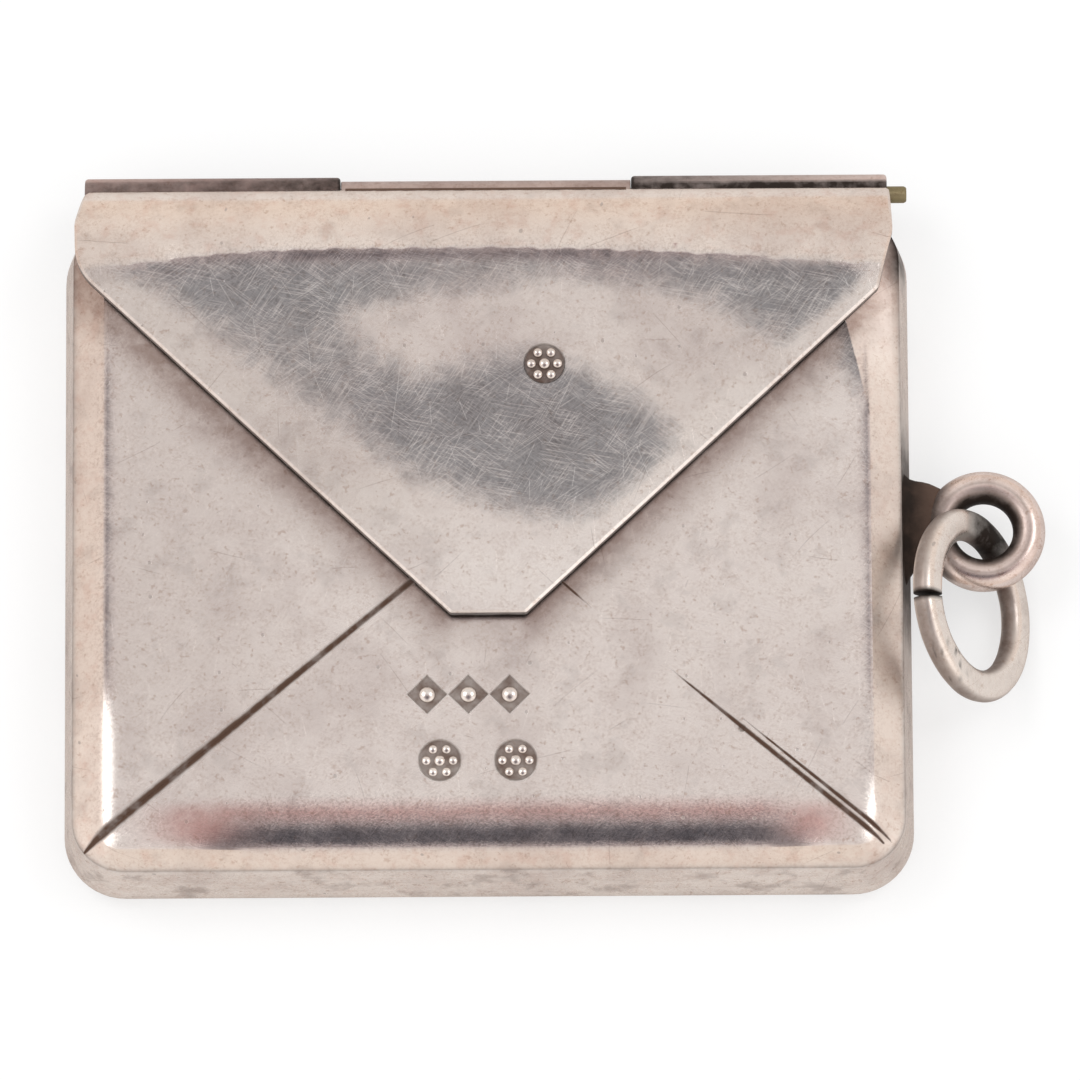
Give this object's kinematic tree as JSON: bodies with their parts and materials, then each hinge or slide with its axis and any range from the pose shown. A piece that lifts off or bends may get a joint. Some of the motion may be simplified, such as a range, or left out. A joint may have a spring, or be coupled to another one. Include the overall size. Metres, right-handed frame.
{
  "type": "stamp box",
  "caption": "Flat silver stamp case shaped like a sealed letter envelope, with a hinged pointed flap over its mouth, and a soldered side loop holding a split ring for a watch chain.",
  "frame": {"origin": "centre of the flat back face of the case", "axes": "+X along the hinge towards the loop, +Y from the lower edge to the hinge, +Z out of the front face"},
  "size_m": [0.0345, 0.0257, 0.0059],
  "materials": {
    "case_silver": "worn polished silver with tarnish in the engraving",
    "flap_silver": "worn polished silver with fine scratches",
    "hinge_silver": "worn silver tube with dark joints",
    "pin_brass": "dull brass wire",
    "loop_silver": "polished silver wire, tarnished at the foot",
    "ring_silver": "polished silver wire with small pits"
  },
  "bodies": {
    "case": {"back_pan": "case_silver", "front_panel": "case_silver", "hinge_knuckle_left": "hinge_silver", "hinge_knuckle_right": "hinge_silver", "hinge_pin": "pin_brass", "suspension_loop": "loop_silver"},
    "flap": {"flap": "flap_silver", "flap_knuckle": "hinge_silver"},
    "ring": {"jump_ring": "ring_silver"}
  },
  "joints": [
    {"name": "flap_hinge", "type": "hinge", "parent": "case", "child": "flap", "pos_m": [0, 0.0128, 0.0024], "axis": [-1, 0, 0], "range_deg": [0, 180]},
    {"name": "ring_swing", "type": "hinge", "parent": "case", "child": "ring", "pos_m": [0.01741, 0.00045, 0.0024], "axis": [0, 0, 1], "range_deg": [-12, 175]}
  ]
}
